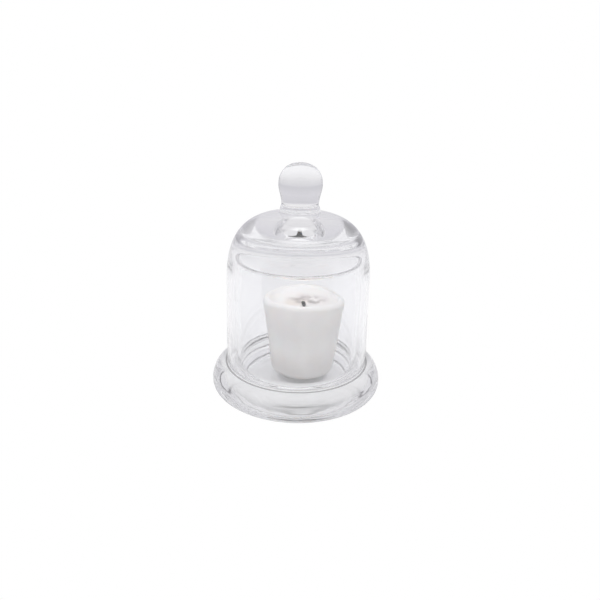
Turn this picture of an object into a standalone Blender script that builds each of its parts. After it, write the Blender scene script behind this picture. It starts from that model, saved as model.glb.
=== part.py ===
"""Small glass bell jar (cloche) candle holder.

A heavy round glass foot carries a straight tumbler cup with a votive candle in it.
A bell-shaped glass dome with a solid knob drops over the cup and rests on the flat
seat ring of the foot.

Metres, +Z up.  The origin is the centre of the plane the foot stands on.  Foot, cup,
dome and knob are bodies of revolution about Z.  The candle is turned about its own
upright axis, a little off centre in the cup, and its rim stands higher on the -Y side.
"""

import math

import bmesh
import bpy

MM = 0.001
GAP = 0.3 * MM                   # clearance between pieces that touch

# Facets around the axis
SEGMENTS_LARGE = 48              # foot, cup and dome
SEGMENTS_MEDIUM = 36             # knob, wax and sustainer tab
SEGMENTS_SMALL = 16              # wick

# Mesh clean-up, shading and display
PROFILE_MIN_SPACING = 0.02 * MM  # closer neighbours in a profile are dropped
AXIS_SNAP_RADIUS = 0.0001 * MM   # smaller radii are put exactly on the axis
MERGE_DISTANCE = 0.002 * MM
SHARP_ANGLE = math.radians(32.0)
EMPTY_SIZE = 20.0 * MM

# Foot: thick pressed disc with a large rolled edge and a hollow underside
FOOT_RADIUS = 50.0 * MM          # widest point of the rolled edge
FOOT_WIDEST_Z = 4.2 * MM         # height of that widest point
FOOT_CONTACT_RADIUS = 46.8 * MM  # outer limit of the flat standing ring
FOOT_EDGE_POWER = 1.95           # below 2 = a slightly flattened roll
HOLLOW_RADIUS = 38.5 * MM        # the underside is hollow inside the ring
HOLLOW_DEPTH = 5.75 * MM
HOLLOW_POWER = 4.4               # high = a nearly flat roof with rounded corners
HOLLOW_STEPS = 14
SEAT_Z = 15.0 * MM               # flat top ring that the dome stands on
SEAT_RADIUS = 41.75 * MM         # outer limit of the flat ring
WELL_FLOOR_Z = 7.2 * MM          # floor of the recess that takes the cup

# Cup: inner tumbler standing in the recess of the foot
CUP_RADIUS_LOW = 35.85 * MM
CUP_RADIUS_RIM = 36.30 * MM
CUP_BASE_Z = WELL_FLOOR_Z + GAP
CUP_RIM_Z = 77.2 * MM
CUP_WALL = 2.4 * MM
CUP_FLOOR = 1.8 * MM
CUP_FLOOR_Z = CUP_BASE_Z + CUP_FLOOR
CUP_INNER_FILLET = 3.9 * MM
CUP_BASE_CHAMFER = 1.2 * MM

# Dome: thin straight wall under a squarish bell crown of heavy glass
DOME_Z = SEAT_Z + GAP
DOME_RADIUS_RIM = 41.3 * MM
DOME_RADIUS_SHOULDER = 40.45 * MM
DOME_SHOULDER_Z = 59.2 * MM      # where the wall starts to turn in
DOME_APEX_Z = 103.0 * MM
DOME_CROWN_POWER = 3.0           # above 2 = fuller shoulders than an ellipse
DOME_WALL = 1.85 * MM
DOME_INNER_SHOULDER_Z = 69.0 * MM  # the inside turns in later and more squarely
DOME_INNER_POWER = 4.95
DOME_CROWN_THICKNESS = 10.9 * MM   # heavy glass under the knob

# Knob: solid piece on top of the crown
KNOB_COLLAR_RADIUS = 11.0 * MM
KNOB_COLLAR_BAND = 1.6 * MM      # straight part of the collar above the crown
KNOB_NECK_RADIUS = 10.1 * MM
KNOB_NECK_Z = 107.2 * MM
KNOB_RADIUS = 11.95 * MM
KNOB_WIDEST_Z = 117.9 * MM
KNOB_TOP_Z = 129.3 * MM
KNOB_CAP_POWER = 2.2
KNOB_TAPER_STEPS = 5
KNOB_FLARE_STEPS = 4
KNOB_UNDERSIDE_FRACTIONS = (0.75, 0.5, 0.25, 0.0)  # of the collar radius

# Votive candle
CANDLE_OFFSET = (3.6 * MM, -0.6 * MM)  # X and Y: the candle stands loose, off centre
CANDLE_Z = CUP_FLOOR_Z + GAP
WAX_TOP_RADIUS = 23.7 * MM
WAX_FOOT_RADIUS = 18.6 * MM
WAX_FOOT_ROUND = 4.2 * MM
WAX_TOP_Z = 55.0 * MM
WAX_RIM_ROUND = 1.8 * MM
RIM_RISE = 2.6 * MM              # slump at the wax radius: up at -Y, down at +Y
POOL_DEPTH = 6.2 * MM            # burnt down inside a standing rim
POOL_Z = WAX_TOP_Z - POOL_DEPTH
POOL_RADIUS = 15.5 * MM          # flat floor of the pool
POOL_EDGE_RADIUS = 20.4 * MM     # inner edge of the rim's top
POOL_BANK_WIDTH = 2.6 * MM       # shallow slope outside the pool floor
POOL_BANK_HEIGHT = 0.9 * MM
POOL_LIP_WIDTH = 0.9 * MM        # slope just inside the rim's top edge
POOL_LIP_HEIGHT = 1.6 * MM

# Wick: its charred head is wider than the stem
WICK_RADIUS = 0.85 * MM
WICK_CHAR_RADIUS = 1.25 * MM
WICK_TIP_RADIUS = 0.65 * WICK_CHAR_RADIUS
WICK_TOP_Z = POOL_Z + 3.4 * MM
WICK_TIP_DROP = 0.2 * MM         # drops are measured from the top of the wick
WICK_CHAR_START_DROP = 0.9 * MM
WICK_CHAR_END_DROP = 2.0 * MM
WICK_STEM_TOP_Z = POOL_Z + 0.9 * MM
WICK_FOOT_Z = CANDLE_Z + 0.1 * MM
WICK_BORE = WICK_RADIUS + GAP    # radius of the hole in the wax and the tab

# Sustainer tab: thin disc with a tubular neck around the wick
TAB_RADIUS = 8.0 * MM
TAB_TOP_Z = CANDLE_Z + 0.4 * MM
TAB_NECK_RADIUS = 1.6 * MM
TAB_NECK_TOP_Z = CANDLE_Z + 4.0 * MM


# ----------------------------------------------------------------------------
# Scene and materials
# ----------------------------------------------------------------------------
def clear_scene():
    for obj in list(bpy.data.objects):
        bpy.data.objects.remove(obj, do_unlink=True)


def material(name, colour, roughness, metallic=0.0, transmission=0.0, ior=1.5):
    mat = bpy.data.materials.new(name)
    mat.use_nodes = True
    inputs = mat.node_tree.nodes["Principled BSDF"].inputs
    inputs["Base Color"].default_value = (*colour, 1.0)
    inputs["Roughness"].default_value = roughness
    inputs["Metallic"].default_value = metallic
    inputs["IOR"].default_value = ior
    inputs["Transmission Weight"].default_value = transmission
    mat.diffuse_color = (*colour, 1.0)
    return mat


def glass(name, colour, roughness=0.02):
    return material(name, colour, roughness, transmission=1.0, ior=1.51)


def foot_glass():
    return glass("pressed_foot_glass", colour=(0.90, 0.92, 0.93), roughness=0.05)


def cup_glass():
    return glass("cup_glass", colour=(0.93, 0.94, 0.95))


def dome_glass():
    return glass("dome_glass", colour=(0.92, 0.92, 0.95))


def knob_glass():
    return glass("knob_glass", colour=(0.86, 0.86, 0.90))


def white_wax():
    return material("white_wax", colour=(0.86, 0.84, 0.83), roughness=0.55)


def charred_cotton():
    return material("charred_cotton", colour=(0.05, 0.045, 0.04), roughness=0.9)


def tinned_steel():
    return material("tinned_steel", colour=(0.62, 0.62, 0.63), roughness=0.35, metallic=1.0)


# ----------------------------------------------------------------------------
# Profile and mesh helpers.  Profiles are lists of (radius, world height).
# ----------------------------------------------------------------------------
def arc(centre, radii, start, end, steps, power=2.0):
    """Superellipse arc about centre, from start to end in degrees; power 2 = ellipse."""
    points = []
    for i in range(steps + 1):
        angle = math.radians(start + (end - start) * i / steps)
        points.append(tuple(
            middle + radius * math.copysign(abs(part) ** (2.0 / power), part)
            for middle, radius, part in zip(centre, radii, (math.cos(angle), math.sin(angle)))
        ))
    return points


def line(start, end, steps):
    """Evenly spaced points after start, up to and including end."""
    return [
        (start[0] + (end[0] - start[0]) * i / steps, start[1] + (end[1] - start[1]) * i / steps)
        for i in range(1, steps + 1)
    ]


def tidy(profile):
    """Snap points to the axis and drop those that coincide with the one before."""
    kept = []
    for radius, z in profile:
        if radius < AXIS_SNAP_RADIUS:
            radius = 0.0
        if kept and math.dist((radius, z), kept[-1]) < PROFILE_MIN_SPACING:
            continue
        kept.append((radius, z))
    return kept


def turn(name, profile, mat, segments, parent, origin_z, closed=False):
    """Body of revolution about the parent's Z axis, with its origin at height origin_z.

    The profile starts and ends on the axis, or is a loop off the axis when closed.
    """
    bm = bmesh.new()
    verts = [bm.verts.new((radius, 0.0, z - origin_z)) for radius, z in tidy(profile)]
    for vert, following in zip(verts[:-1], verts[1:]):
        bm.edges.new((vert, following))
    if closed:
        bm.edges.new((verts[-1], verts[0]))
    bmesh.ops.spin(
        bm,
        geom=bm.verts[:] + bm.edges[:],
        cent=(0.0, 0.0, 0.0),
        axis=(0.0, 0.0, 1.0),
        angle=2.0 * math.pi,
        steps=segments,
        use_merge=True,
    )
    bmesh.ops.remove_doubles(bm, verts=bm.verts[:], dist=MERGE_DISTANCE)
    bmesh.ops.recalc_face_normals(bm, faces=bm.faces[:])

    mesh = bpy.data.meshes.new(name)
    bm.to_mesh(mesh)
    bm.free()
    mesh.shade_smooth()
    mesh.set_sharp_from_angle(angle=SHARP_ANGLE)
    mesh.materials.append(mat)

    obj = bpy.data.objects.new(name, mesh)
    bpy.context.scene.collection.objects.link(obj)
    obj.parent = parent
    obj.location = (0.0, 0.0, origin_z - parent.location.z)
    return obj


def empty(name, z, xy=(0.0, 0.0)):
    obj = bpy.data.objects.new(name, None)
    obj.empty_display_size = EMPTY_SIZE
    obj.location = (*xy, z)
    bpy.context.scene.collection.objects.link(obj)
    return obj


# ----------------------------------------------------------------------------
# Foot and cup
# ----------------------------------------------------------------------------
def cup_radius(z):
    """Outer radius of the cup: a very slight flare towards the rim."""
    fraction = (z - CUP_BASE_Z) / (CUP_RIM_Z - CUP_BASE_Z)
    return CUP_RADIUS_LOW + (CUP_RADIUS_RIM - CUP_RADIUS_LOW) * fraction


def foot_profile():
    """From the middle of the well, over the rolled edge, to the middle of the hollow."""
    well_radius = cup_radius(SEAT_Z) + GAP
    points = [(0.0, WELL_FLOOR_Z), (well_radius, WELL_FLOOR_Z), (well_radius, SEAT_Z)]
    points += arc((SEAT_RADIUS, FOOT_WIDEST_Z),
                  (FOOT_RADIUS - SEAT_RADIUS, SEAT_Z - FOOT_WIDEST_Z),
                  90.0, 0.0, steps=9, power=FOOT_EDGE_POWER)
    points += arc((FOOT_CONTACT_RADIUS, FOOT_WIDEST_Z),
                  (FOOT_RADIUS - FOOT_CONTACT_RADIUS, FOOT_WIDEST_Z),
                  0.0, -90.0, steps=5)[1:]
    points.append((HOLLOW_RADIUS, 0.0))
    # cosine spacing puts more points near the hollow's corner
    for i in range(1, HOLLOW_STEPS + 1):
        fraction = math.cos(0.5 * math.pi * i / HOLLOW_STEPS)
        points.append((HOLLOW_RADIUS * fraction,
                       HOLLOW_DEPTH * (1.0 - fraction ** HOLLOW_POWER)))
    return points


def cup_profile():
    """From the middle of the inner floor, over the rounded rim, to the underside."""
    half_wall = CUP_WALL / 2.0
    rim_centre = (CUP_RADIUS_RIM - half_wall, CUP_RIM_Z - half_wall)
    rim = arc(rim_centre, (half_wall, half_wall), 180.0, 0.0, steps=6)
    fillet_radius = cup_radius(CUP_FLOOR_Z) - CUP_WALL - CUP_INNER_FILLET
    chamfer_z = CUP_BASE_Z + CUP_BASE_CHAMFER

    points = [(0.0, CUP_FLOOR_Z)]
    points += arc((fillet_radius, CUP_FLOOR_Z + CUP_INNER_FILLET),
                  (CUP_INNER_FILLET, CUP_INNER_FILLET), -90.0, 0.0, steps=5)
    points += line(points[-1], rim[0], steps=3)[:-1]
    points += rim
    points += line(points[-1], (cup_radius(chamfer_z), chamfer_z), steps=3)
    points += [(CUP_RADIUS_LOW - CUP_BASE_CHAMFER, CUP_BASE_Z), (0.0, CUP_BASE_Z)]
    return points


def build_base():
    base = empty("base_frame", 0.0)
    turn("base_plate", foot_profile(), foot_glass(), SEGMENTS_LARGE, base, 0.0)
    turn("candle_cup", cup_profile(), cup_glass(), SEGMENTS_LARGE, base, CUP_BASE_Z)


# ----------------------------------------------------------------------------
# Dome and knob
# ----------------------------------------------------------------------------
def crown_height_at(radius):
    """Height of the crown's outer surface at a radius."""
    remainder = 1.0 - (radius / DOME_RADIUS_SHOULDER) ** DOME_CROWN_POWER
    rise = (DOME_APEX_Z - DOME_SHOULDER_Z) * remainder ** (1.0 / DOME_CROWN_POWER)
    return DOME_SHOULDER_Z + rise


def dome_profile():
    """From the outer apex down to the rounded rim and up the inside."""
    inner_shoulder_radius = DOME_RADIUS_SHOULDER - DOME_WALL
    half_wall = DOME_WALL / 2.0
    rim_z = DOME_Z + half_wall
    inner_rise = DOME_APEX_Z - DOME_CROWN_THICKNESS - DOME_INNER_SHOULDER_Z

    points = arc((0.0, DOME_SHOULDER_Z), (DOME_RADIUS_SHOULDER, DOME_APEX_Z - DOME_SHOULDER_Z),
                 90.0, 0.0, steps=16, power=DOME_CROWN_POWER)
    points += line(points[-1], (DOME_RADIUS_RIM, rim_z), steps=3)
    points += arc((DOME_RADIUS_RIM - half_wall, rim_z), (half_wall, half_wall),
                  0.0, -180.0, steps=6)[1:]
    points += line((DOME_RADIUS_RIM - DOME_WALL, rim_z),
                   (inner_shoulder_radius, DOME_INNER_SHOULDER_Z), steps=3)
    points += arc((0.0, DOME_INNER_SHOULDER_Z), (inner_shoulder_radius, inner_rise),
                  0.0, 90.0, steps=14, power=DOME_INNER_POWER)[1:]
    return points


def knob_profile():
    """From the top of the knob down to the underside, which follows the crown."""
    points = arc((0.0, KNOB_WIDEST_Z), (KNOB_RADIUS, KNOB_TOP_Z - KNOB_WIDEST_Z),
                 90.0, 0.0, steps=9, power=KNOB_CAP_POWER)
    # S-curved taper from the widest point into the neck
    for i in range(1, KNOB_TAPER_STEPS + 1):
        fraction = i / KNOB_TAPER_STEPS
        ease = fraction * fraction * (3.0 - 2.0 * fraction)
        points.append((KNOB_RADIUS + (KNOB_NECK_RADIUS - KNOB_RADIUS) * ease,
                       KNOB_WIDEST_Z + (KNOB_NECK_Z - KNOB_WIDEST_Z) * fraction))
    # flare out again to the collar
    collar_z = crown_height_at(KNOB_COLLAR_RADIUS) + GAP
    band_z = collar_z + KNOB_COLLAR_BAND
    for i in range(1, KNOB_FLARE_STEPS + 1):
        fraction = i / KNOB_FLARE_STEPS
        ease = math.sin(0.5 * math.pi * fraction)
        points.append((KNOB_NECK_RADIUS + (KNOB_COLLAR_RADIUS - KNOB_NECK_RADIUS) * ease,
                       KNOB_NECK_Z + (band_z - KNOB_NECK_Z) * fraction))
    points.append((KNOB_COLLAR_RADIUS, collar_z))
    for fraction in KNOB_UNDERSIDE_FRACTIONS:
        radius = KNOB_COLLAR_RADIUS * fraction
        points.append((radius, crown_height_at(radius) + GAP))
    return points


def build_dome():
    """The dome and its knob lift straight up off the seat ring."""
    axis = empty("dome_lift_axis", DOME_Z)
    turn("dome_shell", dome_profile(), dome_glass(), SEGMENTS_LARGE, axis, DOME_Z)
    turn("dome_knob", knob_profile(), knob_glass(), SEGMENTS_MEDIUM, axis, DOME_APEX_Z + GAP)


# ----------------------------------------------------------------------------
# Candle
# ----------------------------------------------------------------------------
def wax_profile():
    """Down the outside, up through the tab recess and wick bore, out over the pool."""
    neck_bore = TAB_NECK_RADIUS + GAP
    neck_z = TAB_NECK_TOP_Z + GAP
    recess_radius = TAB_RADIUS + GAP
    recess_z = TAB_TOP_Z + GAP
    foot_round_z = CANDLE_Z + WAX_FOOT_ROUND

    points = arc((WAX_TOP_RADIUS - WAX_RIM_ROUND, WAX_TOP_Z - WAX_RIM_ROUND),
                 (WAX_RIM_ROUND, WAX_RIM_ROUND), 90.0, 0.0, steps=3)
    points += line(points[-1], (WAX_FOOT_RADIUS, foot_round_z), steps=4)
    points += arc((WAX_FOOT_RADIUS - WAX_FOOT_ROUND, foot_round_z),
                  (WAX_FOOT_ROUND, WAX_FOOT_ROUND), 0.0, -90.0, steps=4)[1:]
    points += [
        (recess_radius, CANDLE_Z),
        (recess_radius, recess_z),
        (neck_bore, recess_z),
        (neck_bore, neck_z),
        (WICK_BORE, neck_z),
        (WICK_BORE, POOL_Z),
        (POOL_RADIUS, POOL_Z),
        (POOL_RADIUS + POOL_BANK_WIDTH, POOL_Z + POOL_BANK_HEIGHT),
        (POOL_EDGE_RADIUS - POOL_LIP_WIDTH, WAX_TOP_Z - POOL_LIP_HEIGHT),
        (POOL_EDGE_RADIUS, WAX_TOP_Z),
    ]
    return points


def slump_rim(wax):
    """Raise the candle's standing rim at -Y and lower it at +Y."""
    for vert in wax.data.vertices:
        fraction = (vert.co.z - (POOL_Z - CANDLE_Z)) / POOL_DEPTH
        if fraction > 0.0 and vert.co.xy.length > POOL_RADIUS:
            vert.co.z -= RIM_RISE * fraction * vert.co.y / WAX_TOP_RADIUS
    wax.data.update()


def wick_profile():
    return [
        (0.0, WICK_TOP_Z),
        (WICK_TIP_RADIUS, WICK_TOP_Z - WICK_TIP_DROP),
        (WICK_CHAR_RADIUS, WICK_TOP_Z - WICK_CHAR_START_DROP),
        (WICK_CHAR_RADIUS, WICK_TOP_Z - WICK_CHAR_END_DROP),
        (WICK_RADIUS, WICK_STEM_TOP_Z),
        (WICK_RADIUS, WICK_FOOT_Z),
        (0.0, WICK_FOOT_Z),
    ]


def tab_profile():
    return [
        (WICK_BORE, TAB_NECK_TOP_Z),
        (TAB_NECK_RADIUS, TAB_NECK_TOP_Z),
        (TAB_NECK_RADIUS, TAB_TOP_Z),
        (TAB_RADIUS, TAB_TOP_Z),
        (TAB_RADIUS, CANDLE_Z),
        (WICK_BORE, CANDLE_Z),
    ]


def build_candle():
    """The candle lifts straight up out of the cup."""
    axis = empty("candle_lift_axis", CANDLE_Z, CANDLE_OFFSET)
    wax = turn("candle_wax", wax_profile(), white_wax(), SEGMENTS_MEDIUM, axis, CANDLE_Z,
               closed=True)
    slump_rim(wax)
    turn("wick", wick_profile(), charred_cotton(), SEGMENTS_SMALL, axis, CANDLE_Z)
    turn("wick_sustainer", tab_profile(), tinned_steel(), SEGMENTS_MEDIUM, axis, CANDLE_Z,
         closed=True)


clear_scene()
build_base()
build_dome()
build_candle()
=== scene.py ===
"""Small glass bell jar candle holder.

A thick foot and a candle cup form one piece of glass; a dome with a knob stands
over the cup on the foot. All glass is turned about the Z axis, with the foot on
z = 0. The candle stands in the cup, a little off the axis. The camera looks from
the front (-Y), slightly downwards. Lengths are in metres.
"""
import math

import bpy
import numpy as np
from mathutils import Matrix, Vector, noise


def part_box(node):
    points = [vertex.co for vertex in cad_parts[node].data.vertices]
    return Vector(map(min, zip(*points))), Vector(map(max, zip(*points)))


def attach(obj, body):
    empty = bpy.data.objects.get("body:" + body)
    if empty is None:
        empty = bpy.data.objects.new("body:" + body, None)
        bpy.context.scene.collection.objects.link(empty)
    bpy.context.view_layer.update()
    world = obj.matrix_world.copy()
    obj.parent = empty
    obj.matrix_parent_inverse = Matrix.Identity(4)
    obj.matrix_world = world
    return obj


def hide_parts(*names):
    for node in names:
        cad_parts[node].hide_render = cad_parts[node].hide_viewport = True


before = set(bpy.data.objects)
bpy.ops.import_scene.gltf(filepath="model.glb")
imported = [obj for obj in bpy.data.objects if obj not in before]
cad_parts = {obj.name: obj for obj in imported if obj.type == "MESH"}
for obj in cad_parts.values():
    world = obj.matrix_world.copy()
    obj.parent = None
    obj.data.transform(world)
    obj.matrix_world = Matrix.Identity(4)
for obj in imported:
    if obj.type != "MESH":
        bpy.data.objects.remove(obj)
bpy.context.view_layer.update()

MM = 0.001
TAU = 2.0 * math.pi

# ----------------------------------------------------------------------------
# Places and sizes, read from the fixed frame
# ----------------------------------------------------------------------------
FOOT_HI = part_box("base_plate")[1]
CUP_LO, CUP_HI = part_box("candle_cup")
DOME_LO, DOME_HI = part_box("dome_shell")
KNOB_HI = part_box("dome_knob")[1]
WAX_LO, WAX_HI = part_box("candle_wax")
WICK_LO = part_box("wick")[0]
TAB_LO, TAB_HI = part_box("wick_sustainer")

FOOT_R = FOOT_HI.x
SEAT_Z = FOOT_HI.z                       # top of the foot
CUP_R = CUP_HI.x                         # at the rim
CUP_BASE_Z = CUP_LO.z
CUP_RIM_Z = CUP_HI.z
DOME_R = DOME_HI.x                       # at the rim
DOME_RIM_Z = DOME_LO.z
APEX_Z = DOME_HI.z                       # top of the dome, under the knob
KNOB_R = KNOB_HI.x
KNOB_TOP = KNOB_HI.z
WAX_BASE_Z = WAX_LO.z
WAX_R = 0.5 * (WAX_HI.x - WAX_LO.x)      # at the top
TAB_R = 0.5 * (TAB_HI.x - TAB_LO.x)
CANDLE_X = 0.5 * (WAX_LO.x + WAX_HI.x)
CANDLE_Y = 0.5 * (WAX_LO.y + WAX_HI.y)

WAX_TOP = 55.0 * MM                      # mean height of the melted rim
POOL_Z = WAX_TOP - 6.2 * MM
WICK_TOP = 52.2 * MM


# ----------------------------------------------------------------------------
# Mesh helpers: profiles are lists of (radius, z) points
# ----------------------------------------------------------------------------
def smooth_noise(x, y, z, seed):
    return noise.noise(Vector((x + 13.1 * seed, y - 7.7 * seed, z + 3.3 * seed)))


def smoothstep(t):
    return t * t * (3 - 2 * t)


def arc(centre_r, centre_z, radius_r, radius_z, start, end, steps, power=2.0):
    """Points along an ellipse, or a superellipse, between two angles in degrees."""
    points = []
    for i in range(steps + 1):
        angle = math.radians(start + (end - start) * i / steps)
        cos, sin = math.cos(angle), math.sin(angle)
        points.append((centre_r + radius_r * math.copysign(abs(cos) ** (2.0 / power), cos),
                       centre_z + radius_z * math.copysign(abs(sin) ** (2.0 / power), sin)))
    return points


def resample(points, step):
    """Walk a polyline at an even step, keeping its ends."""
    points = np.array(points, float)
    keep = [0]
    for i in range(1, len(points)):
        if np.hypot(*(points[i] - points[keep[-1]])) > 1e-7:
            keep.append(i)
    points = points[keep]
    spans = np.hypot(*(points[1:] - points[:-1]).T)
    distance = np.concatenate([[0.0], np.cumsum(spans)])
    count = max(2, int(round(distance[-1] / step)))
    stations = np.linspace(0.0, distance[-1], count + 1)
    return np.stack([np.interp(stations, distance, points[:, 0]),
                     np.interp(stations, distance, points[:, 1])], 1)


def resample_loop(points, step):
    """Walk a closed outline at an even step, without repeating its first point."""
    return resample(points + [points[0]], step)[:-1]


def soften(points, rounds, closed=False):
    """Lightly smooth a profile; an open one keeps its ends."""
    for _ in range(rounds):
        softer = points.copy()
        softer[1:-1] = 0.25 * points[:-2] + 0.5 * points[1:-1] + 0.25 * points[2:]
        if closed:
            softer[0] = 0.25 * points[-1] + 0.5 * points[0] + 0.25 * points[1]
            softer[-1] = 0.25 * points[-2] + 0.5 * points[-1] + 0.25 * points[0]
        points = softer
    return points


def signed_volume(mesh):
    """Six times the enclosed volume: negative when the faces point inwards."""
    mesh.calc_loop_triangles()
    corners = np.empty(len(mesh.loop_triangles) * 3, np.int32)
    mesh.loop_triangles.foreach_get("vertices", corners)
    places = np.empty(len(mesh.vertices) * 3, np.float32)
    mesh.vertices.foreach_get("co", places)
    tris = places.reshape(-1, 3)[corners.reshape(-1, 3)].astype(float)
    return float(np.einsum("ij,ij->i", tris[:, 0], np.cross(tris[:, 1], tris[:, 2])).sum())


def link_object(name, data):
    obj = bpy.data.objects.new(name, data)
    bpy.context.scene.collection.objects.link(obj)
    return obj


def solid_object(name, verts, faces):
    """Smooth-shaded object with its faces pointing outwards."""
    mesh = bpy.data.meshes.new(name)
    mesh.from_pydata(verts, [], faces)
    mesh.validate()
    mesh.shade_smooth()
    mesh.update()
    if signed_volume(mesh) < 0:
        mesh.flip_normals()
    return link_object(name, mesh)


def lathe(name, profile, segments, offset, closed=False):
    """Surface of revolution.

    An open profile starts and ends on the axis; a closed one is a loop off it.
    offset(x, y, z) returns the small shift added to each point.
    """
    rings = profile if closed else profile[1:-1]
    ring_count = len(rings)
    verts, faces = [], []
    for r, z in rings:
        for s in range(segments):
            angle = TAU * s / segments
            verts.append((r * math.cos(angle), r * math.sin(angle), z))

    def index(ring, s):
        return (ring % ring_count) * segments + (s % segments)

    for ring in range(ring_count if closed else ring_count - 1):
        for s in range(segments):
            faces.append((index(ring, s), index(ring + 1, s),
                          index(ring + 1, s + 1), index(ring, s + 1)))
    if not closed:
        first = len(verts)
        last = first + 1
        verts += [(0.0, 0.0, profile[0][1]), (0.0, 0.0, profile[-1][1])]
        faces += [(first, index(0, s), index(0, s + 1)) for s in range(segments)]
        end = ring_count - 1
        faces += [(last, index(end, s + 1), index(end, s)) for s in range(segments)]

    shifted = []
    for x, y, z in verts:
        dx, dy, dz = offset(x, y, z)
        shifted.append((x + dx, y + dy, z + dz))
    return solid_object(name, shifted, faces)


# ----------------------------------------------------------------------------
# Shader helpers
# ----------------------------------------------------------------------------
class Graph:
    """Fresh node tree of a material or world.

    An input may be given a value or another node's output. Methods other than
    add() return the output socket of the node they make.
    """

    def __init__(self, owner):
        owner.use_nodes = True
        self.tree = owner.node_tree
        self.tree.nodes.clear()

    def feed(self, socket, value):
        if isinstance(value, bpy.types.NodeSocket):
            self.tree.links.new(value, socket)
        elif socket.type == "RGBA":
            socket.default_value = (*value, 1.0)
        else:
            socket.default_value = value

    def add(self, kind, inputs=None, **settings):
        # settings come first: they decide which sockets a node offers
        node = self.tree.nodes.new("ShaderNode" + kind)
        for key, value in settings.items():
            setattr(node, key, value)
        for key, value in (inputs or {}).items():
            self.feed(node.inputs[key], value)
        return node

    def object_coords(self):
        return self.add("TexCoord").outputs["Object"]

    def split(self, vector):
        return self.add("SeparateXYZ", {"Vector": vector}).outputs

    def math(self, operation, *operands):
        node = self.add("Math", dict(enumerate(operands)), operation=operation)
        return node.outputs["Value"]

    def multiply(self, first, second):
        return self.math("MULTIPLY", first, second)

    def vector_math(self, operation, *operands):
        node = self.add("VectorMath", dict(enumerate(operands)), operation=operation)
        return node.outputs["Value" if operation in ("LENGTH", "DOT_PRODUCT") else "Vector"]

    def map_range(self, value, from_min=0.0, from_max=1.0, to_min=0.0, to_max=1.0,
                  kind="LINEAR"):
        node = self.add("MapRange", {
            "Value": value, "From Min": from_min, "From Max": from_max,
            "To Min": to_min, "To Max": to_max}, interpolation_type=kind)
        return node.outputs["Result"]

    def smooth(self, value, from_min, from_max, to_min=0.0, to_max=1.0):
        return self.map_range(value, from_min, from_max, to_min, to_max, "SMOOTHSTEP")

    def ramp(self, factor, stops, interpolation="LINEAR"):
        """Colour ramp from (position, colour) stops in rising order."""
        node = self.add("ValToRGB", {"Fac": factor})
        band = node.color_ramp
        band.interpolation = interpolation
        for element, (position, colour) in zip(band.elements, (stops[0], stops[-1])):
            element.position = position
            element.color = (*colour, 1)
        for position, colour in stops[1:-1]:
            band.elements.new(position).color = (*colour, 1)
        return node.outputs["Color"]

    def noise(self, coords, scale, detail=2.0):
        node = self.add("TexNoise", {"Vector": coords, "Scale": scale, "Detail": detail})
        return node.outputs["Fac"]

    def bump(self, height, strength, distance):
        node = self.add("Bump", {"Height": height, "Strength": strength, "Distance": distance})
        return node.outputs["Normal"]

    def mix_colour(self, factor, under, over, blend="MIX"):
        node = self.add("Mix", {"Factor": factor, "A": under, "B": over},
                        data_type="RGBA", blend_type=blend)
        return node.outputs["Result"]

    def mix_shader(self, factor, first, second):
        node = self.add("MixShader", {"Fac": factor, 1: first, 2: second})
        return node.outputs["Shader"]

    def emission(self, colour):
        return self.add("Emission", {"Color": colour}).outputs["Emission"]

    def background(self, colour):
        return self.add("Background", {"Color": colour}).outputs["Background"]


def new_material(name):
    material = bpy.data.materials.new(name)
    return material, Graph(material)


# ----------------------------------------------------------------------------
# Glass
# ----------------------------------------------------------------------------
GLASS_IOR = 1.51
# painted shade: colour that darkens the foot glass at its contacts and under the candle
PAINTED_SHADE_COLOUR = (0.085, 0.078, 0.082)
# share of painted shade in each place: contact shade in the corner where the dome stands,
# contact shade at the standing ring, the candle's shadow on the cup floor
SEAT_SHADE, RING_SHADE, CANDLE_SHADOW_SHARE = 0.86, 0.92, 0.62


def glass_painted_shade(graph, tint):
    """Colour of the foot glass: the tint, darkened by painted contact shade and a painted
    shadow of the candle.
    """
    coords = graph.split(graph.object_coords())
    flat = graph.add("CombineXYZ", {"X": coords["X"], "Y": coords["Y"]}).outputs["Vector"]
    radius = graph.vector_math("LENGTH", flat)
    height = coords["Z"]

    def band(value, low, high, blur):
        rise = graph.smooth(value, low - blur, low + blur)
        fall = graph.smooth(value, high + blur, high - blur)
        return graph.multiply(rise, fall)

    def overlap(first, second, share):
        return graph.multiply(graph.multiply(first, second), share)

    # painted shade: dark line in the corner where the dome stands on the foot
    seat = overlap(band(radius, low=41.25 * MM, high=42.3 * MM, blur=0.3 * MM),
                   band(height, low=14.3 * MM, high=30.0 * MM, blur=0.1 * MM), SEAT_SHADE)
    # painted shade: dark band round the standing ring where the foot meets the table
    ring = overlap(band(radius, low=46.3 * MM, high=60.0 * MM, blur=0.3 * MM),
                   band(height, low=-5.0 * MM, high=0.9 * MM, blur=0.5 * MM), RING_SHADE)
    # painted shadow of the candle on the cup floor, centred in front of the candle's axis; it
    # stays in the glass when the candle is lifted
    candle_shadow_centre = (CANDLE_X, CANDLE_Y - 7.0 * MM, 0.0)
    candle_shadow_radius = graph.vector_math("LENGTH", graph.vector_math("SUBTRACT", flat, candle_shadow_centre))
    candle_shadow = overlap(band(candle_shadow_radius, low=-5.0 * MM, high=14.3 * MM, blur=2.2 * MM),
                   band(height, low=CUP_BASE_Z + 1.5 * MM, high=CUP_BASE_Z + 2.6 * MM,
                        blur=0.1 * MM), CANDLE_SHADOW_SHARE)
    shade_share = graph.math("MAXIMUM", graph.math("MAXIMUM", seat, ring), candle_shadow)
    return graph.mix_colour(shade_share, tint, PAINTED_SHADE_COLOUR)


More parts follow.
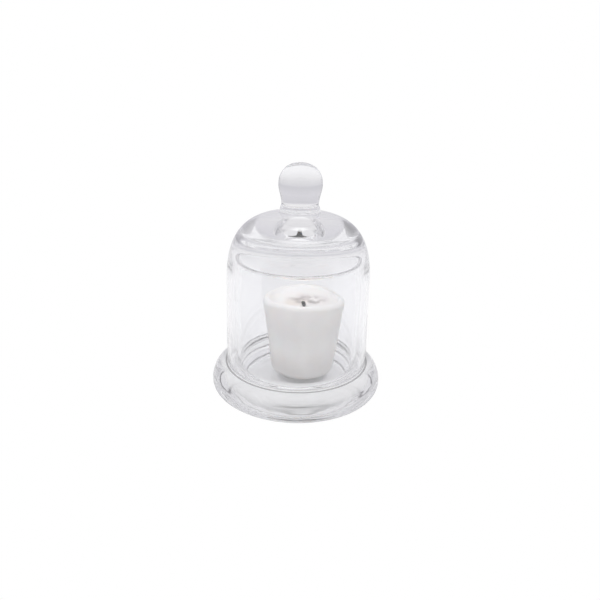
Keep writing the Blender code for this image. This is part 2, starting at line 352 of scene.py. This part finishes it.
def glass_material(name, tint, ripple_scale, ripple_seed, absorb_density, absorb_colour,
                   max_turns, painted_shade=False):
    """Clear glass with slight surface waves and a faint grey body tint.

    Lamps pass through it, so that the candle inside is lit.
    """
    material, graph = new_material(name)
    ripple_coords = graph.add("Mapping", {
        "Vector": graph.object_coords(),
        "Location": (ripple_seed, ripple_seed * 0.7, ripple_seed * 0.3),
        "Scale": (1.0, 1.0, 2.2)}).outputs["Vector"]
    ripples = graph.noise(ripple_coords, scale=ripple_scale)
    glass = graph.add("BsdfPrincipled", {
        "Base Color": tint,
        "Roughness": 0.0,
        "IOR": GLASS_IOR,
        "Transmission Weight": 1.0,
        "Normal": graph.bump(ripples, strength=1.0, distance=0.06 * MM)})
    # painted shade: contact lines and the candle's shadow darken the foot glass's colour
    if painted_shade:
        graph.feed(glass.inputs["Base Color"], glass_painted_shade(graph, tint))
    clear = graph.add("BsdfTransparent", {"Color": (0.98, 0.98, 0.98)})

    # light caught inside a wall for many turns gets out of it in the end
    path = graph.add("LightPath").outputs
    caught = graph.math("GREATER_THAN", path["Ray Depth"], max_turns + 0.5)
    through = graph.math("MAXIMUM", path["Is Shadow Ray"], caught)
    absorption = graph.add("VolumeAbsorption", {
        "Color": absorb_colour, "Density": absorb_density})
    graph.add("OutputMaterial", {
        "Surface": graph.mix_shader(through, glass.outputs["BSDF"], clear.outputs["BSDF"]),
        "Volume": absorption.outputs["Volume"]})
    return material


# ----------------------------------------------------------------------------
# Candle materials
# ----------------------------------------------------------------------------
def principled_material(name, describe):
    """Material of one Principled shader; describe(graph, coords) gives its inputs."""
    material, graph = new_material(name)
    shader = graph.add("BsdfPrincipled", describe(graph, graph.object_coords()))
    graph.add("OutputMaterial", {"Surface": shader.outputs["BSDF"]})
    return material


def wax_patch(graph, coords, dx, dy, size_x, size_y):
    """Mask of a soft oval placed from the candle's axis; sizes are half-widths."""
    centre = (CANDLE_X + dx, CANDLE_Y + dy, 0.0)
    away = graph.vector_math("SUBTRACT", coords, centre)
    scaled = graph.vector_math("MULTIPLY", away, (1.0 / size_x, 1.0 / size_y, 0.0))
    return graph.smooth(graph.vector_math("LENGTH", scaled), 1.0, 0.35)


def wax_specks(graph, coords):
    """Mask of tiny soot specks, present only in some regions."""
    cells = graph.add("TexVoronoi", {"Vector": coords, "Scale": 190.0})
    dots = graph.math("LESS_THAN", cells.outputs["Distance"], 0.055)
    regions = graph.math("GREATER_THAN", graph.noise(coords, scale=95.0), 0.60)
    return graph.multiply(graph.multiply(dots, regions), 0.55)


def wax_looks(graph, coords):
    """White paraffin with fine bumps, soot specks and stains round the wick."""
    colour = graph.ramp(graph.noise(coords, scale=70.0, detail=4.0),
                        [(0.35, (0.92, 0.89, 0.875)), (0.68, (0.97, 0.945, 0.925))])

    # wide pinkish stain, smaller tan stain, and soot broken up by noise
    pool = wax_patch(graph, coords, dx=2 * MM, dy=4 * MM, size_x=19 * MM, size_y=17 * MM)
    tan = wax_patch(graph, coords, dx=-5 * MM, dy=6 * MM, size_x=9.5 * MM, size_y=8 * MM)
    soot = wax_patch(graph, coords, dx=1.8 * MM, dy=8.8 * MM, size_x=15 * MM, size_y=7.8 * MM)
    blotches = graph.map_range(graph.noise(coords, scale=260.0, detail=5.0),
                               from_min=0.34, from_max=0.60)
    for mask, share, stain in (
        (pool, 0.16, (0.80, 0.68, 0.65)),
        (tan, 0.50, (0.78, 0.68, 0.58)),
        (graph.multiply(soot, blotches), 0.80, (0.30, 0.255, 0.25)),
    ):
        colour = graph.mix_colour(graph.multiply(mask, share), colour, stain)
    colour = graph.mix_colour(wax_specks(graph, coords), colour, (0.28, 0.22, 0.19))

    # painted shade: the wax gets darker towards the foot, where less light reaches it
    lower_shade = graph.smooth(graph.split(coords)["Z"], WAX_BASE_Z + 2 * MM, WAX_BASE_Z + 22 * MM,
                           to_min=0.80, to_max=1.0)
    fine = graph.noise(coords, scale=420.0, detail=4.0)
    return {
        "Base Color": graph.mix_colour(1.0, colour, lower_shade, blend="MULTIPLY"),
        # rough on the sides, slick in the pool
        "Roughness": graph.map_range(pool, to_min=0.52, to_max=0.28),
        "IOR": 1.43,
        "Subsurface Weight": 0.6,
        "Subsurface Radius": (1.0, 0.85, 0.75),
        "Subsurface Scale": 4 * MM,
        "Normal": graph.bump(fine, strength=0.5, distance=0.3 * MM)}


def wick_looks(graph, coords):
    """Pale cotton at the pool, charred black above it with a ragged border."""
    height = graph.map_range(graph.split(coords)["Z"],
                             from_min=POOL_Z - 1 * MM, from_max=WICK_TOP)
    fibres = graph.noise(coords, scale=900.0, detail=4.0)
    charring = graph.math("MULTIPLY_ADD", fibres, 0.25, height)
    return {
        "Base Color": graph.ramp(charring, [(0.30, (0.42, 0.38, 0.33)),
                                            (0.42, (0.012, 0.011, 0.010))]),
        "Roughness": 0.85,
        "Normal": graph.bump(fibres, strength=0.8, distance=0.2 * MM)}


def tab_looks(graph, coords):
    """Tinned steel, mottled in colour and gloss."""
    mottle = graph.noise(coords, scale=320.0, detail=5.0)
    return {
        "Base Color": graph.ramp(mottle, [(0.0, (0.48, 0.48, 0.49)),
                                          (1.0, (0.70, 0.70, 0.71))]),
        "Roughness": graph.map_range(mottle, to_min=0.28, to_max=0.5),
        "Metallic": 1.0}


# ----------------------------------------------------------------------------
# Foot and cup: one continuous piece of glass
# ----------------------------------------------------------------------------
GLASS_SEGMENTS = 224
HOLLOW_R, HOLLOW_DEPTH, HOLLOW_POWER = 38.5 * MM, 5.75 * MM, 4.4
STANDING_R = 46.8 * MM            # where the foot touches the table
CHILL = 0.05 * MM                 # depth of the mould marks in the hollow
FOOT_WAVE = 0.10 * MM


def hollow_underside():
    """Hollow from the axis outwards, leaving a narrow standing ring."""
    points = [(0.0, HOLLOW_DEPTH)]
    for i in range(1, 161):
        t = math.sin(math.pi / 2 * i / 160)
        points.append((HOLLOW_R * t, HOLLOW_DEPTH * (1.0 - t ** HOLLOW_POWER)))
    return points + [(STANDING_R - 0.6 * MM, 0.0)]


def foot_offset(x, y, z):
    r = math.hypot(x, y)
    if r < 1e-6 or z < 0.5 * MM:
        return 0.0, 0.0, 0.0
    if r < HOLLOW_R and z < HOLLOW_DEPTH + 0.1 * MM:
        # chill marks left by the mould
        fade = min(1.0, (z - 0.5 * MM) / (1.0 * MM))
        return 0.0, 0.0, fade * smooth_noise(x * 150, y * 150, 0.0, 12.0) * CHILL
    # slow run of the glass round the foot and down the cup
    cos, sin = x / r, y / r
    wave = smooth_noise(cos * 1.3, sin * 1.3, z * 22.0, 1.0) * FOOT_WAVE
    if r > 0.97 * FOOT_R:
        wave = min(wave, 0.0)
    return cos * wave, sin * wave, 0.0


def foot_and_cup():
    side_r = FOOT_R - 0.06 * MM
    widest_z = 4.2 * MM
    seat_r = 41.75 * MM           # where the flat seat turns down into the side
    wall = 2.4 * MM
    half = wall / 2.0
    rim_r = CUP_R - 0.05 * MM - half
    rim_z = CUP_RIM_Z - 0.05 * MM - half
    cup_foot_r = CUP_R - 0.4 * MM
    fillet = 2.7 * MM             # outside, between seat and cup
    inner_r = cup_foot_r - wall
    floor_z = CUP_BASE_Z + 1.8 * MM
    floor_fillet = 3.9 * MM       # inside, between wall and floor

    points = hollow_underside()
    points += arc(STANDING_R, widest_z, side_r - STANDING_R, widest_z, -90, 0, 24)
    points += arc(seat_r, widest_z, side_r - seat_r, SEAT_Z - widest_z, 0, 90, 48, 1.95)
    points += arc(cup_foot_r + fillet, SEAT_Z + fillet, fillet, fillet, 270, 180, 14)
    points += arc(rim_r, rim_z, half * 1.04, half, 0, 180, 24)
    points += [(inner_r, floor_z + floor_fillet + 8 * MM)]
    points += arc(inner_r - floor_fillet, floor_z + floor_fillet,
                  floor_fillet, floor_fillet, 0, -90, 24)
    points += [(0.0, floor_z)]
    profile = soften(resample(points, 0.42 * MM), 2)
    profile[:, 1] = np.maximum(profile[:, 1], 0.0)
    return lathe("foot_and_cup", profile, GLASS_SEGMENTS, foot_offset)


# ----------------------------------------------------------------------------
# Dome and knob: one continuous piece of glass
# ----------------------------------------------------------------------------
DOME_WALL = 1.85 * MM
DOME_WAVE, DOME_RIPPLE = 0.12 * MM, 0.04 * MM
RIM_FADE = 4 * MM                 # height over which the waves die out at the rim

SHOULDER_R = DOME_R - 0.85 * MM   # outer surface
SHOULDER_Z = 59.2 * MM
CROWN_POWER = 3.0

INNER_SHOULDER_Z = 69.0 * MM
INNER_APEX_Z = 92.1 * MM          # the crown is thick: 11 mm of glass on the axis
INNER_POWER = 4.95                # squarer than the outside


def crown_z(r, radius, low_z, top_z, power):
    """Height of a superellipse crown at radius r."""
    return low_z + (top_z - low_z) * (1.0 - (r / radius) ** power) ** (1.0 / power)


def outer_crown_z(r):
    return crown_z(r, SHOULDER_R, SHOULDER_Z, APEX_Z, CROWN_POWER)


def knob_and_collar():
    """Outside of the knob from its top down to the collar on the crown."""
    wide_r, wide_z = KNOB_R - 0.03 * MM, 117.9 * MM
    neck_r, neck_z = 10.1 * MM, 107.2 * MM
    top_z = KNOB_TOP - 0.03 * MM
    collar_r = 11.0 * MM
    collar_z = outer_crown_z(collar_r)
    points = arc(0.0, wide_z, wide_r, top_z - wide_z, 90, 0, 60, 2.2)
    for i in range(1, 31):
        t = i / 30
        points.append((wide_r + (neck_r - wide_r) * smoothstep(t),
                       wide_z + (neck_z - wide_z) * t))
    for i in range(1, 13):
        t = i / 12
        points.append((neck_r + (collar_r - neck_r) * math.sin(t * math.pi / 2),
                       neck_z + (collar_z + 1.75 * MM - neck_z) * t))
    points.append((collar_r - 0.1 * MM, collar_z + 0.2 * MM))
    points.append((collar_r + 0.3 * MM, collar_z - 0.05 * MM))
    return points, collar_r


def outer_crown(start_r):
    """Outer surface from start_r out to the shoulder."""
    points = []
    for i in range(1, 120):
        angle = math.pi / 2 * (1 - i / 120)
        r = SHOULDER_R * math.cos(angle) ** (2 / CROWN_POWER)
        if r >= start_r:
            points.append((r, outer_crown_z(min(r, SHOULDER_R * 0.99999))))
    return points + [(SHOULDER_R, SHOULDER_Z)]


def inner_crown(inner_r):
    """Inner surface from the shoulder to the axis."""
    points = [(inner_r, INNER_SHOULDER_Z)]
    for i in range(1, 160):
        r = inner_r * math.cos(math.pi / 2 * i / 160) ** (2 / INNER_POWER)
        points.append((r, crown_z(min(r, inner_r * 0.99999), inner_r,
                                  INNER_SHOULDER_Z, INNER_APEX_Z, INNER_POWER)))
    return points + [(0.0, INNER_APEX_Z)]


def dome_offset(x, y, z):
    r = math.hypot(x, y)
    if r < 1e-6:
        return 0.0, 0.0, 0.0
    cos, sin = x / r, y / r
    wave = smooth_noise(cos * 1.1, sin * 1.1, z * 18.0, 2.0) * DOME_WAVE
    wave += smooth_noise(cos * 2.7, sin * 2.7, z * 60.0, 5.0) * DOME_RIPPLE
    if z < DOME_RIM_Z + RIM_FADE:
        wave *= max(0.0, (z - DOME_RIM_Z) / RIM_FADE)
    if z > 113 * MM:              # calmer on the knob
        wave *= 0.3
    return cos * wave, sin * wave, 0.0


def dome_and_knob():
    half = DOME_WALL / 2.0
    points, collar_r = knob_and_collar()
    points += outer_crown(start_r=collar_r + 1.0 * MM)
    points += arc(DOME_R - 0.03 * MM - half, DOME_RIM_Z + half, half, half, 0, -180, 24)
    points += inner_crown(SHOULDER_R - DOME_WALL)
    profile = soften(resample(points, 0.45 * MM), 2)
    return lathe("dome_and_knob", profile, GLASS_SEGMENTS, dome_offset)


# ----------------------------------------------------------------------------
# Candle
# ----------------------------------------------------------------------------
WAX_EDGE_Z = WAX_TOP - 0.2 * MM
RIM_RISE = 2.6 * MM               # rim higher towards -Y, lower towards +Y
BACK_MELT = 1.9 * MM              # extra melting on the +Y side


def wax_offset(x, y, z):
    r = math.hypot(x, y)
    cos, sin = (x / r, y / r) if r > 1e-6 else (1.0, 0.0)
    out = up = 0.0
    if r > 5.0 * MM:
        # hand-poured wobble of the sides
        out += smooth_noise(cos * 1.4, sin * 1.4, z * 40.0, 3.0) * 0.35 * MM
        out += smooth_noise(x * 260, y * 260, z * 260, 4.0) * 0.10 * MM
    if z > POOL_Z - 1.0 * MM and r > 12.0 * MM:
        # softened, uneven rim: higher at the front, with shallow dips
        fade = min(1.0, max(0.0, (z - POOL_Z) / (WAX_EDGE_Z - POOL_Z)))
        up += fade * (smooth_noise(cos * 1.6, sin * 1.6, 0.5, 6.0) * 0.5 * MM
                      + smooth_noise(cos * 4.2, sin * 4.2, 1.5, 7.0) * 0.30 * MM
                      - 0.15 * MM - RIM_RISE * y / WAX_R - BACK_MELT * max(0.0, y / WAX_R))
        out += fade * smooth_noise(cos * 3.0, sin * 3.0, 2.5, 8.0) * 0.30 * MM
    elif z > POOL_Z - 1.0 * MM and r > 2.5 * MM:
        up += smooth_noise(x * 150, y * 150, 0.0, 9.0) * 0.18 * MM
    out = min(out, 0.2 * MM)
    return CANDLE_X + cos * out, CANDLE_Y + sin * out, up


def candle_wax():
    top_r = WAX_R - 0.25 * MM
    edge_round = 1.9 * MM
    foot_r = 18.6 * MM
    foot_round = 4.2 * MM
    recess_r = TAB_R + 0.3 * MM   # room for the wick tab
    recess_z = TAB_LO.z + 0.7 * MM
    neck_r = 1.9 * MM
    neck_z = TAB_HI.z + 0.3 * MM
    bore = 1.15 * MM              # hole for the wick
    pool_r = 12.5 * MM            # flat part of the pool
    bowl_r = 20.2 * MM
    bowl_depth = WAX_EDGE_Z - POOL_Z
    lip = 0.7 * MM

    points = arc(top_r - edge_round, WAX_EDGE_Z - edge_round,
                 edge_round, edge_round, 90, 0, 14)
    points += [(foot_r, WAX_BASE_Z + foot_round)]
    points += arc(foot_r - foot_round, WAX_BASE_Z + foot_round,
                  foot_round, foot_round, 0, -90, 14)[1:]
    points += [
        (recess_r, WAX_BASE_Z), (recess_r, recess_z),
        (neck_r, recess_z), (neck_r, neck_z), (bore, neck_z),
        (bore, POOL_Z - 0.1 * MM), (bore + 0.7 * MM, POOL_Z + 0.45 * MM),
        (bore + 2.6 * MM, POOL_Z + 0.05 * MM), (pool_r, POOL_Z)]
    # the melted bowl curves up into the standing rim
    for i in range(1, 15):
        angle = math.radians(6 * i)
        points.append((pool_r + (bowl_r - pool_r) * math.sin(angle),
                       POOL_Z + bowl_depth * (1 - math.cos(angle)) * 0.90))
    points += arc(bowl_r + lip, WAX_EDGE_Z - lip, lip, lip, 170, 90, 6)
    profile = soften(resample_loop(points, 0.5 * MM), 1, closed=True)
    return lathe("candle_wax_body", profile, 200, wax_offset, closed=True)


def candle_wick():
    """Braided cotton, burnt to a lumpy bent head above the pool."""
    rows, segments = 120, 28
    coarse = 0.3                  # share of the rows below the fine part
    bottom, top = WICK_LO.z, WICK_TOP - 0.1 * MM
    fine_z = POOL_Z - 2 * MM
    cord_r, head_swell = 0.80 * MM, 0.42 * MM
    lean_x, lean_y = -0.5 * MM, -1.3 * MM
    burnt, tip = 0.15, 0.8        # starts of the swelling and of the rounded end, 0 to 1

    verts, faces = [], []
    for row in range(rows + 1):
        t = row / rows
        if t < coarse:
            z = bottom + (fine_z - bottom) * (t / coarse)
        else:
            z = fine_z + (top - fine_z) * (t - coarse) / 0.7
        rise = max(0.0, (z - POOL_Z) / (top - POOL_Z))
        centre_x = CANDLE_X + lean_x * rise * rise
        centre_y = CANDLE_Y + lean_y * rise
        r = cord_r
        if rise > burnt:
            r += head_swell * math.sin(min(1.0, (rise - burnt) / 0.45) * math.pi / 2)
        if rise > tip:
            r *= max(0.05, math.sqrt(max(0.0, 1 - ((rise - tip) / 0.2) ** 2)))
        for s in range(segments):
            angle = TAU * s / segments
            cos, sin = math.cos(angle), math.sin(angle)
            # three-strand braid
            braid = 1.0 + 0.07 * math.cos(3 * angle + z / MM * 2.4)
            lump = 1.0
            if rise > burnt:
                lump += 0.28 * smooth_noise(cos * 1.4, sin * 1.4, z * 900, 11.0)
            verts.append((centre_x + r * braid * lump * cos,
                          centre_y + r * braid * lump * sin, z))
    for row in range(rows):
        for s in range(segments):
            here, beside = row * segments + s, row * segments + (s + 1) % segments
            faces.append((here, beside, beside + segments, here + segments))

    last_ring = rows * segments
    bottom_index = len(verts)
    top_index = bottom_index + 1
    verts += [(CANDLE_X, CANDLE_Y, bottom), (CANDLE_X + lean_x, CANDLE_Y + lean_y, top)]
    faces += [(bottom_index, (s + 1) % segments, s) for s in range(segments)]
    faces += [(top_index, last_ring + s, last_ring + (s + 1) % segments)
              for s in range(segments)]
    return solid_object("candle_wick", verts, faces)


def tab_offset(x, y, z):
    """Move the tab to the candle and pinch its neck at four places."""
    r = math.hypot(x, y)
    if r > 2.2 * MM or z < TAB_LO.z + 1.2 * MM or r <= 1.4 * MM:
        return CANDLE_X, CANDLE_Y, 0.0
    pinch = -0.07 * MM * (0.5 + 0.5 * math.cos(4 * math.atan2(y, x)))
    return CANDLE_X + (x / r) * pinch, CANDLE_Y + (y / r) * pinch, 0.0


def wick_tab():
    """Stamped steel tab with a rounded edge and a crimped neck."""
    base_z, top_z = TAB_LO.z, TAB_HI.z
    outer_r = TAB_R - 0.02 * MM
    thick = 0.4 * MM
    bore, neck_r = 1.12 * MM, 1.6 * MM
    edge = 0.2 * MM
    fillet = 0.5 * MM
    fillet_z = base_z + thick + fillet
    points = [(bore, top_z - 0.1 * MM)]
    points += arc(neck_r - edge, top_z - edge, edge, edge, 90, 0, 5)
    points += [(neck_r, fillet_z)]
    points += arc(neck_r + fillet, fillet_z, fillet, fillet, 180, 270, 6)
    points += arc(outer_r - edge, base_z + edge, edge, edge, 90, -90, 10)
    points += [(bore + 0.5 * MM, base_z)]
    return lathe("wick_tab", resample_loop(points, 0.15 * MM), 96, tab_offset, closed=True)


# ----------------------------------------------------------------------------
# Floor: pure white to the camera, a lit table top to everything else
# ----------------------------------------------------------------------------
FLOOR_HALF, FLOOR_Z = 6.0, -0.2 * MM
TABLE_COLOUR = (0.80, 0.80, 0.805)
CONTACT_SHADE_COLOUR = tuple(0.72 * channel for channel in TABLE_COLOUR)
BACKDROP_LOW = (0.64, 0.635, 0.67)
NEAR_SPAN, FAR_SPAN = 0.1, 2.0    # radii at the ends of the ramps below

# radius over NEAR_SPAN, table colour: painted contact shade, darker close to the standing ring
CONTACT_STOPS = [(0.415, TABLE_COLOUR), (0.46, CONTACT_SHADE_COLOUR),
                 (0.51, CONTACT_SHADE_COLOUR), (0.60, TABLE_COLOUR)]

# radius over NEAR_SPAN, light that the thick foot gathers on the table under it
GATHERED = ((0.11, 0.19), (0.15, 0.20), (0.20, 0.21), (0.25, 0.23),
            (0.34, 0.20), (0.42, 0.26), (0.46, 0.10), (0.58, 0.05))
GATHERED_STOPS = [(0.02, (0.19, 0.186, 0.184)),
                  *((place, (level, level, level * 1.02)) for place, level in GATHERED),
                  (0.68, (0.0, 0.0, 0.0))]

# radius over FAR_SPAN, colour: white near by, lilac-grey of the unlit sweep far off
SWEEP_STOPS = [(0.15, (0.86, 0.855, 0.865)), (0.25, (0.80, 0.795, 0.815)),
               (0.45, (0.745, 0.74, 0.765)), (0.75, (0.68, 0.675, 0.71)),
               (1.0, BACKDROP_LOW)]


def floor_material():
    material, graph = new_material("floor_white")
    position = graph.add("NewGeometry").outputs["Position"]
    radius = graph.vector_math("LENGTH", position)
    near_radius = graph.map_range(radius, from_max=NEAR_SPAN)
    far_radius = graph.map_range(radius, from_max=FAR_SPAN)

    table = graph.add("BsdfDiffuse", {
        "Color": graph.ramp(near_radius, CONTACT_STOPS, "B_SPLINE")}).outputs["BSDF"]
    gathered = graph.emission(graph.ramp(near_radius, GATHERED_STOPS))
    near = graph.add("AddShader", {0: table, 1: gathered}).outputs["Shader"]
    far = graph.emission(graph.ramp(far_radius, SWEEP_STOPS))
    surroundings = graph.mix_shader(graph.smooth(radius, 0.20, 0.40), near, far)
    white = graph.emission((1.0, 1.0, 1.0))
    is_camera = graph.add("LightPath").outputs["Is Camera Ray"]
    graph.add("OutputMaterial", {"Surface": graph.mix_shader(is_camera, surroundings, white)})
    return material


def stage_floor():
    corners = ((-1, -1), (1, -1), (1, 1), (-1, 1))
    verts = [(x * FLOOR_HALF, y * FLOOR_HALF, FLOOR_Z) for x, y in corners]
    mesh = bpy.data.meshes.new("floor")
    mesh.from_pydata(verts, [], [(0, 1, 2, 3)])
    mesh.update()
    floor = link_object("floor", mesh)
    mesh.materials.append(floor_material())


# ----------------------------------------------------------------------------
# World: white to the camera, a soft studio that turns with it to the glass
# ----------------------------------------------------------------------------
# z of the view direction, colour: pale sweep at the horizon, bright overhead
SKY_STOPS = [(0.0, BACKDROP_LOW), (0.15, (0.69, 0.68, 0.72)), (0.35, (0.72, 0.715, 0.74)),
             (0.65, (0.78, 0.775, 0.79)), (0.82, (0.80, 0.795, 0.81)),
             (0.88, (1.04, 1.04, 1.05)), (1.0, (1.12, 1.12, 1.12))]
FLAG_SIDE = (0.88, 0.97)          # sideways share of the direction where a flag fades in
FLAG_DEPTH_LEFT, FLAG_DEPTH_RIGHT = 0.56, 0.28
ROOM_FADE = (-0.45, -0.75)        # depth behind the viewer where the room gets dim
ROOM_DEPTH = 0.6
FIGURE_LOW, FIGURE_TOP = 0.44, 0.675              # z of the direction
FIGURE_LOW_WIDTH, FIGURE_TOP_WIDTH = 0.62, 0.06   # half-widths
FIGURE_DEPTH = 0.93


def turn_vector(graph, vector, source, target):
    node = graph.add("VectorTransform", {"Vector": vector}, vector_type="VECTOR",
                     convert_from=source, convert_to=target)
    return node.outputs["Vector"]


def side_flags(graph, across, side, height):
    """Dark flag on each side near the horizon, which draws the glass edges."""
    level = graph.math("SUBTRACT", 1.0, graph.multiply(height, height))
    level = graph.math("SQRT", graph.math("MAXIMUM", level, 0.01))
    flag = graph.multiply(graph.smooth(graph.math("DIVIDE", side, level), *FLAG_SIDE),
                          graph.smooth(height, 0.60, 0.25))
    return graph.multiply(flag, graph.smooth(across, -0.5, 0.5,
                                             FLAG_DEPTH_LEFT, FLAG_DEPTH_RIGHT))


def dim_room(graph, depth, height):
    """Dim room behind the viewer."""
    dark = graph.multiply(graph.smooth(depth, *ROOM_FADE), graph.smooth(height, 0.62, 0.30))
    return graph.multiply(dark, ROOM_DEPTH)


def operator_figure(graph, direction, side, height):
    """Dark figure of whoever works the camera, narrow at its top."""
    ahead = turn_vector(graph, (0.0, 0.0, 1.0), "CAMERA", "WORLD")
    ahead = graph.vector_math("MULTIPLY", ahead, (1.0, 1.0, 0.0))
    ahead = graph.vector_math("NORMALIZE", ahead)
    along = graph.vector_math("DOT_PRODUCT", ahead, direction)
    width = graph.map_range(height, from_min=FIGURE_LOW, from_max=FIGURE_TOP,
                            to_min=FIGURE_LOW_WIDTH, to_max=FIGURE_TOP_WIDTH)
    figure = graph.multiply(graph.smooth(height, FIGURE_LOW, FIGURE_LOW + 0.01),
                            graph.smooth(height, FIGURE_TOP, FIGURE_TOP - 0.01))
    past_edge = graph.math("SUBTRACT", side, width)
    figure = graph.multiply(figure, graph.smooth(past_edge, 0.008, -0.008))
    figure = graph.multiply(figure, graph.smooth(along, 0.0, -0.05))
    return graph.multiply(figure, FIGURE_DEPTH)


def studio_world():
    world = bpy.data.worlds.new("studio")
    bpy.context.scene.world = world
    graph = Graph(world)
    direction = graph.add("TexCoord").outputs["Generated"]
    height = graph.split(direction)["Z"]
    view = graph.split(turn_vector(graph, direction, "WORLD", "CAMERA"))
    side = graph.math("ABSOLUTE", view["X"])

    flags = side_flags(graph, view["X"], side, height)
    room = dim_room(graph, view["Z"], height)
    figure = operator_figure(graph, direction, side, height)
    light = graph.multiply(graph.math("SUBTRACT", 1.0, flags),
                           graph.math("SUBTRACT", 1.0, room))
    light = graph.multiply(light, graph.math("SUBTRACT", 1.0, figure))
    studio = graph.mix_colour(1.0, graph.ramp(height, SKY_STOPS), light, blend="MULTIPLY")

    is_camera = graph.add("LightPath").outputs["Is Camera Ray"]
    surface = graph.mix_shader(is_camera, graph.background(studio),
                               graph.background((1, 1, 1)))
    graph.add("OutputWorld", {"Surface": surface})


# ----------------------------------------------------------------------------
# Lamps, camera and render settings
# ----------------------------------------------------------------------------
def soft_light(name, location, target, width, height, power):
    """Rectangular lamp aimed at a point; glass neither mirrors nor shows it."""
    data = bpy.data.lights.new(name, "AREA")
    data.shape = "RECTANGLE"
    data.size = width
    data.size_y = height
    data.energy = power
    lamp = link_object(name, data)
    lamp.location = location
    aim = Vector(target) - Vector(location)
    lamp.rotation_euler = aim.to_track_quat("-Z", "Y").to_euler()
    lamp.visible_glossy = False
    lamp.visible_transmission = False


def add_lights():
    soft_light("key_softbox", location=(-0.55, -0.45, 0.75), target=(0, 0, 0.05),
               width=0.6, height=0.6, power=3.8)
    soft_light("fill_softbox", location=(0.65, -0.35, 0.55), target=(0, 0, 0.05),
               width=0.5, height=0.7, power=3.2)
    soft_light("front_softbox", location=(0.05, -0.95, 0.22), target=(0, 0, 0.04),
               width=0.7, height=0.3, power=1.55)


def add_camera():
    target = Vector((1.312 * MM, 0.0, 51.74 * MM))
    distance = 0.300
    tilt = 0.358782411            # downwards, radians
    roll = 0.0264591543           # the camera's right side lifted, radians

    forward = Vector((0.0, math.cos(tilt), -math.sin(tilt)))
    level_right = Vector((1.0, 0.0, 0.0))
    level_up = level_right.cross(forward)
    right = level_right * math.cos(roll) + level_up * math.sin(roll)
    up = level_up * math.cos(roll) - level_right * math.sin(roll)

    data = bpy.data.cameras.new("camera")
    data.sensor_width = 36.0
    data.sensor_fit = "HORIZONTAL"
    data.lens = 31.06525944
    data.clip_start = 0.01
    data.clip_end = 50.0
    camera = bpy.data.objects.new("camera", data)
    placement = Matrix((right, up, -forward)).transposed().to_4x4()
    placement.translation = target - forward * distance
    camera.matrix_world = placement
    bpy.context.scene.collection.objects.link(camera)
    bpy.context.scene.camera = camera


def render_settings():
    scene = bpy.context.scene
    scene.view_settings.view_transform = "Standard"
    scene.view_settings.look = "None"
    # light crosses many glass walls before it reaches the candle
    scene.cycles.max_bounces = 64
    scene.cycles.transmission_bounces = 64
    scene.cycles.glossy_bounces = 64
    scene.cycles.transparent_max_bounces = 24
    scene.cycles.caustics_refractive = True
    scene.cycles.caustics_reflective = False


# ----------------------------------------------------------------------------
# Build
# ----------------------------------------------------------------------------
dome_glass = glass_material(
    "dome_glass", tint=(0.985, 0.985, 0.99), ripple_scale=45.0, ripple_seed=1.0,
    absorb_density=2.0, absorb_colour=(0.90, 0.90, 0.93), max_turns=18)
foot_glass = glass_material(
    "foot_glass", tint=(0.985, 0.987, 0.99), ripple_scale=40.0, ripple_seed=14.0,
    absorb_density=1.5, absorb_colour=(0.90, 0.903, 0.925), max_turns=34, painted_shade=True)

# object, material, body it rides on, material slot, frame nodes it replaces
PARTS = (
    (foot_and_cup(), foot_glass, "base", "cup_glass", ("base_plate", "candle_cup")),
    (dome_and_knob(), dome_glass, "dome", "dome_glass", ("dome_shell", "dome_knob")),
    (candle_wax(), principled_material("paraffin_wax", wax_looks),
     "candle", "wax", ("candle_wax",)),
    (candle_wick(), principled_material("charred_cotton", wick_looks),
     "candle", "wick", ("wick",)),
    (wick_tab(), principled_material("tinned_steel", tab_looks),
     "candle", "tab_steel", ("wick_sustainer",)),
)
for part, part_material, body, slot, nodes in PARTS:
    part.data.materials.append(part_material)
    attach(part, body)
    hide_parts(*nodes)

stage_floor()
studio_world()
add_lights()
add_camera()
render_settings()
